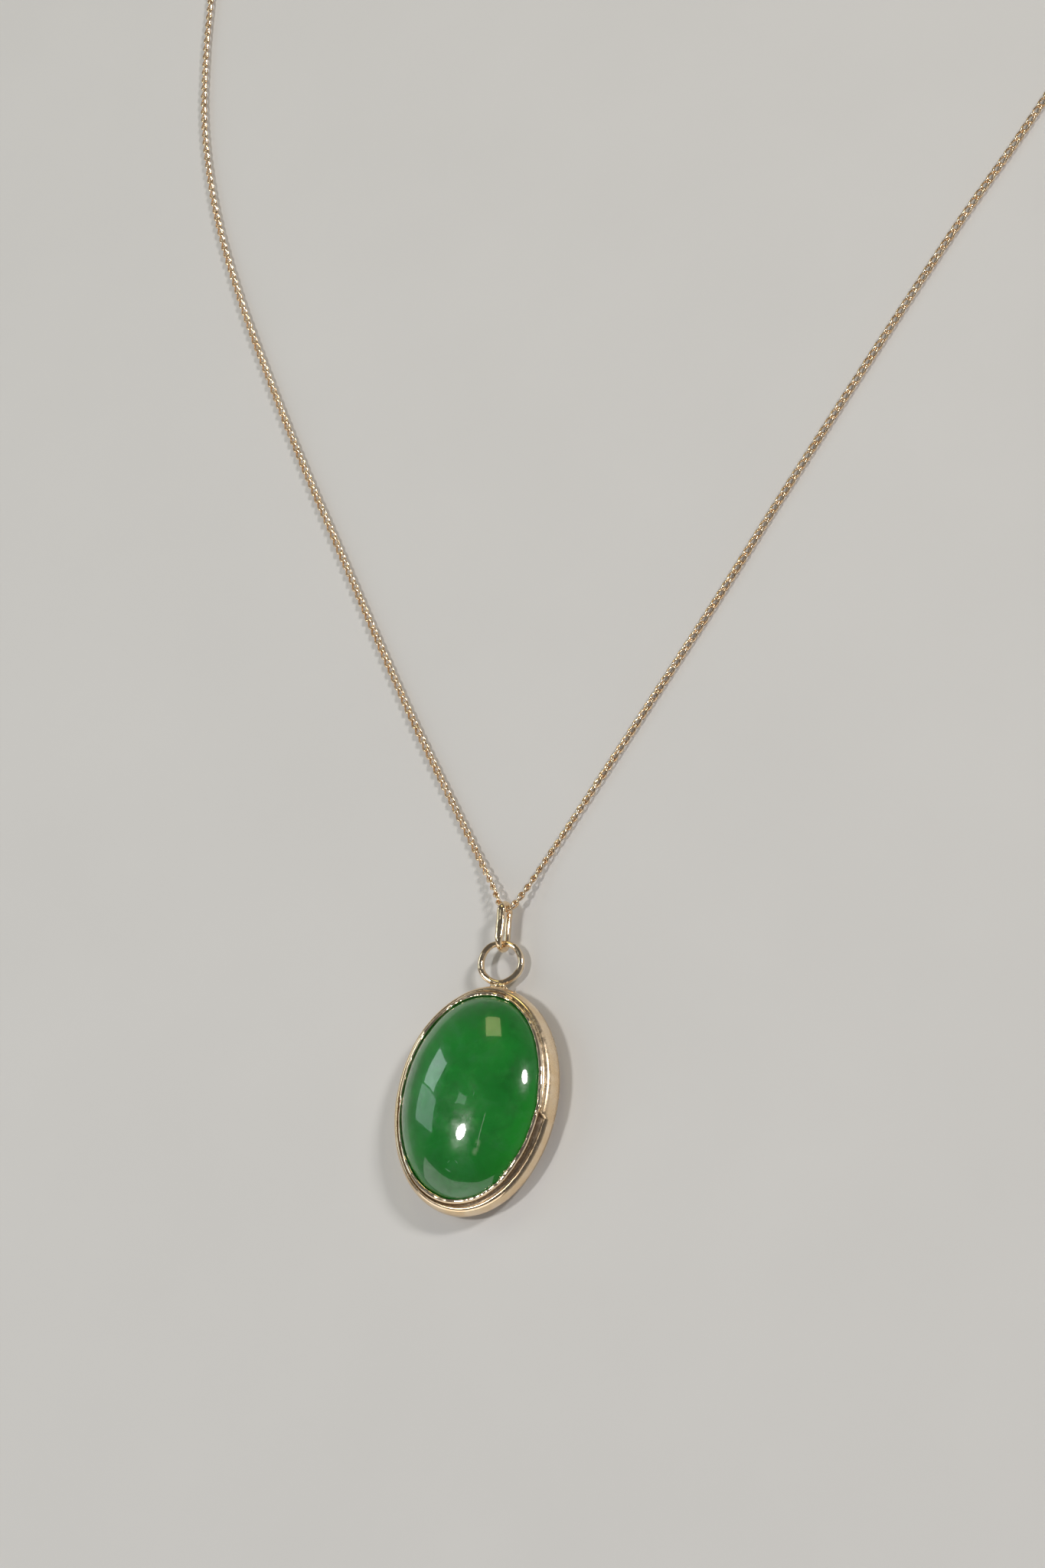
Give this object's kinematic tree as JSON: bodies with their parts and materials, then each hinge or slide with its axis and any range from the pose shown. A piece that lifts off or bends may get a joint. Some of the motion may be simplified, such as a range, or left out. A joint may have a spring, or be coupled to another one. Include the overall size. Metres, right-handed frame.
{
  "type": "pendant necklace",
  "caption": "Oval green cabochon in a half-round gold bezel, hung by a ring and an oval bail link on a fine curb chain with a spring-ring clasp, laid flat with the clasp undone.",
  "frame": {"origin": "middle of the pendant's flat back face, which lies on the surface", "axes": "+Z out of the front of the stone, +Y from the pendant towards its hanging ring and the chain, +X to the right seen from the front"},
  "size_m": [0.1069, 0.1704, 0.0053],
  "materials": {
    "gold": "polished, lightly worn pale yellow gold",
    "chain": "polished fine curb links in pale yellow gold",
    "stone": "high polish, semi-translucent deep green",
    "spring": "drawn wire"
  },
  "bodies": {
    "chain": {"chain_left": "chain", "chain_right": "chain"},
    "bail": {"bail_link": "gold"},
    "pendant": {"stone_cabochon": "stone", "back_plate": "gold", "bezel_seat": "gold", "bezel_cup": "gold", "bezel_frame": "gold", "hanging_ring": "gold", "ring_solder": "gold"},
    "left_end_ring": {"end_ring_left": "gold"},
    "clasp": {"clasp_eye": "gold", "clasp_body": "gold", "clasp_spring": "spring"},
    "bolt": {"clasp_bolt": "gold"},
    "right_end_ring": {"end_ring_right": "gold"},
    "catch": {"catch_ring": "gold"}
  },
  "joints": [
    {"name": "bail_on_chain", "type": "hinge", "parent": "chain", "child": "bail", "pos_m": [-0.00035, 0.01703, 0.0012], "axis": [-1, 0, 0], "range_deg": [0, 60]},
    {"name": "pendant_on_bail", "type": "hinge", "parent": "bail", "child": "pendant", "pos_m": [0, 0.01425, 0.0011], "axis": [-0.9781, 0, 0.2079], "range_deg": [0, 85]},
    {"name": "left_ring_on_chain", "type": "hinge", "parent": "chain", "child": "left_end_ring", "pos_m": [-0.0102, 0.1215, 0.00134], "axis": [0, -1, 0], "range_deg": [0, 75]},
    {"name": "clasp_on_ring", "type": "hinge", "parent": "left_end_ring", "child": "clasp", "pos_m": [-0.00776, 0.12181, 0.0008], "axis": [0, 0, 1], "range_deg": [-50, 50]},
    {"name": "bolt_in_clasp", "type": "hinge", "parent": "clasp", "child": "bolt", "pos_m": [-0.004, 0.1219, 0.00061], "axis": [0, 0, -1], "range_deg": [0, 54], "stiffness_Nm_per_rad": 0.0002},
    {"name": "right_ring_on_chain", "type": "hinge", "parent": "chain", "child": "right_end_ring", "pos_m": [0.0118, 0.12162, 0.00143], "axis": [0, 1, 0], "range_deg": [0, 75]},
    {"name": "catch_on_ring", "type": "hinge", "parent": "right_end_ring", "child": "catch", "pos_m": [0.00936, 0.12184, 0.00085], "axis": [-0.2756, 0, 0.9613], "range_deg": [-50, 50]}
  ]
}
